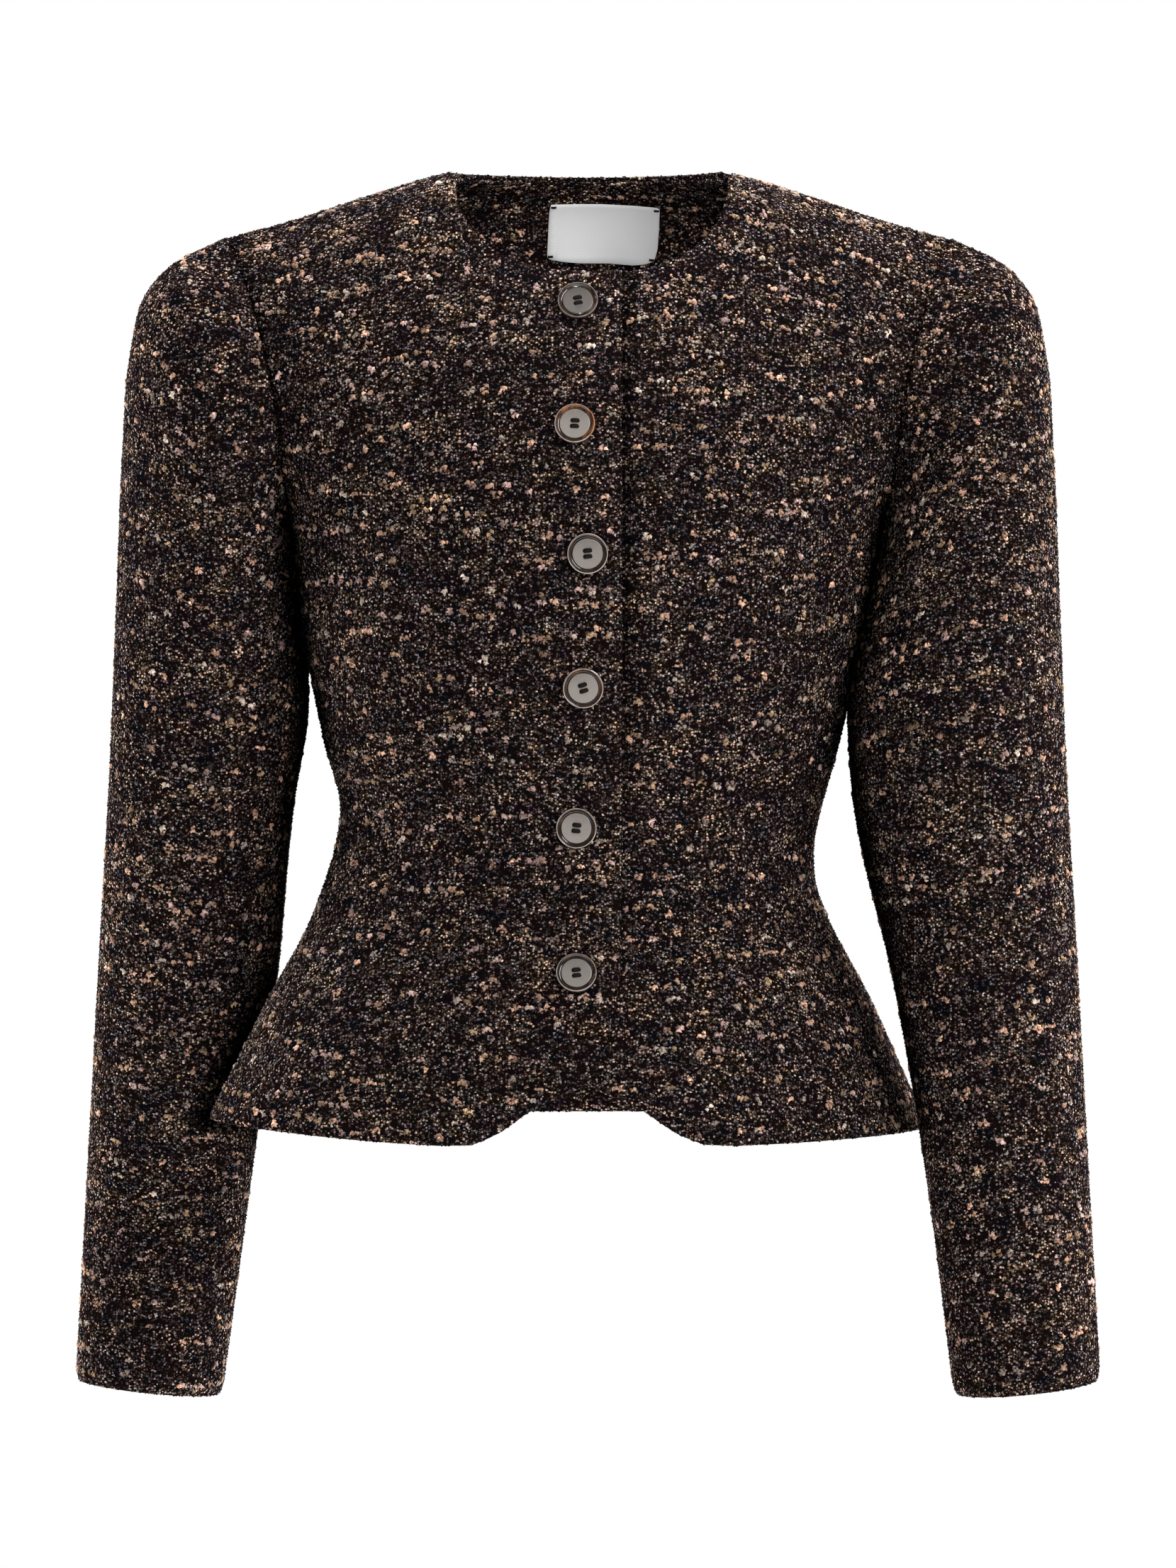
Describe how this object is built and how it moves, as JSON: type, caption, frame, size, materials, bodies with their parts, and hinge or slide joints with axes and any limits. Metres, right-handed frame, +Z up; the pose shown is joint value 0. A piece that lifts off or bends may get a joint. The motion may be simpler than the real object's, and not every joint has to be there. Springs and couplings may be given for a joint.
{
  "type": "boucle jacket",
  "caption": "Collarless boucle jacket in its worn, hollow form: padded shoulders, long set-in sleeves, nipped waist and flared hem with a cutaway buttoned front.",
  "frame": {"origin": "between the two neck points, on the shoulder line, where the wearer's shoulders and neck hold the jacket up", "axes": "+Z up, the front faces -Y, +X is the wearer's left"},
  "size_m": [0.5578, 0.2731, 0.6756],
  "materials": {
    "boucle": "nubbly dark brown and black boucle with peach and cream slubs",
    "label_cloth": "smooth pale grey woven label",
    "horn": "polished brown horn rim with a matt dished middle"
  },
  "bodies": {
    "root": {"front_right": "boucle", "front_left": "boucle", "back": "boucle", "sleeve_right": "boucle", "sleeve_left": "boucle", "back_neck_facing": "boucle", "label": "label_cloth", "button_1": "horn", "button_2": "horn", "button_3": "horn", "button_4": "horn", "button_5": "horn", "button_6": "horn"}
  },
  "joints": []
}
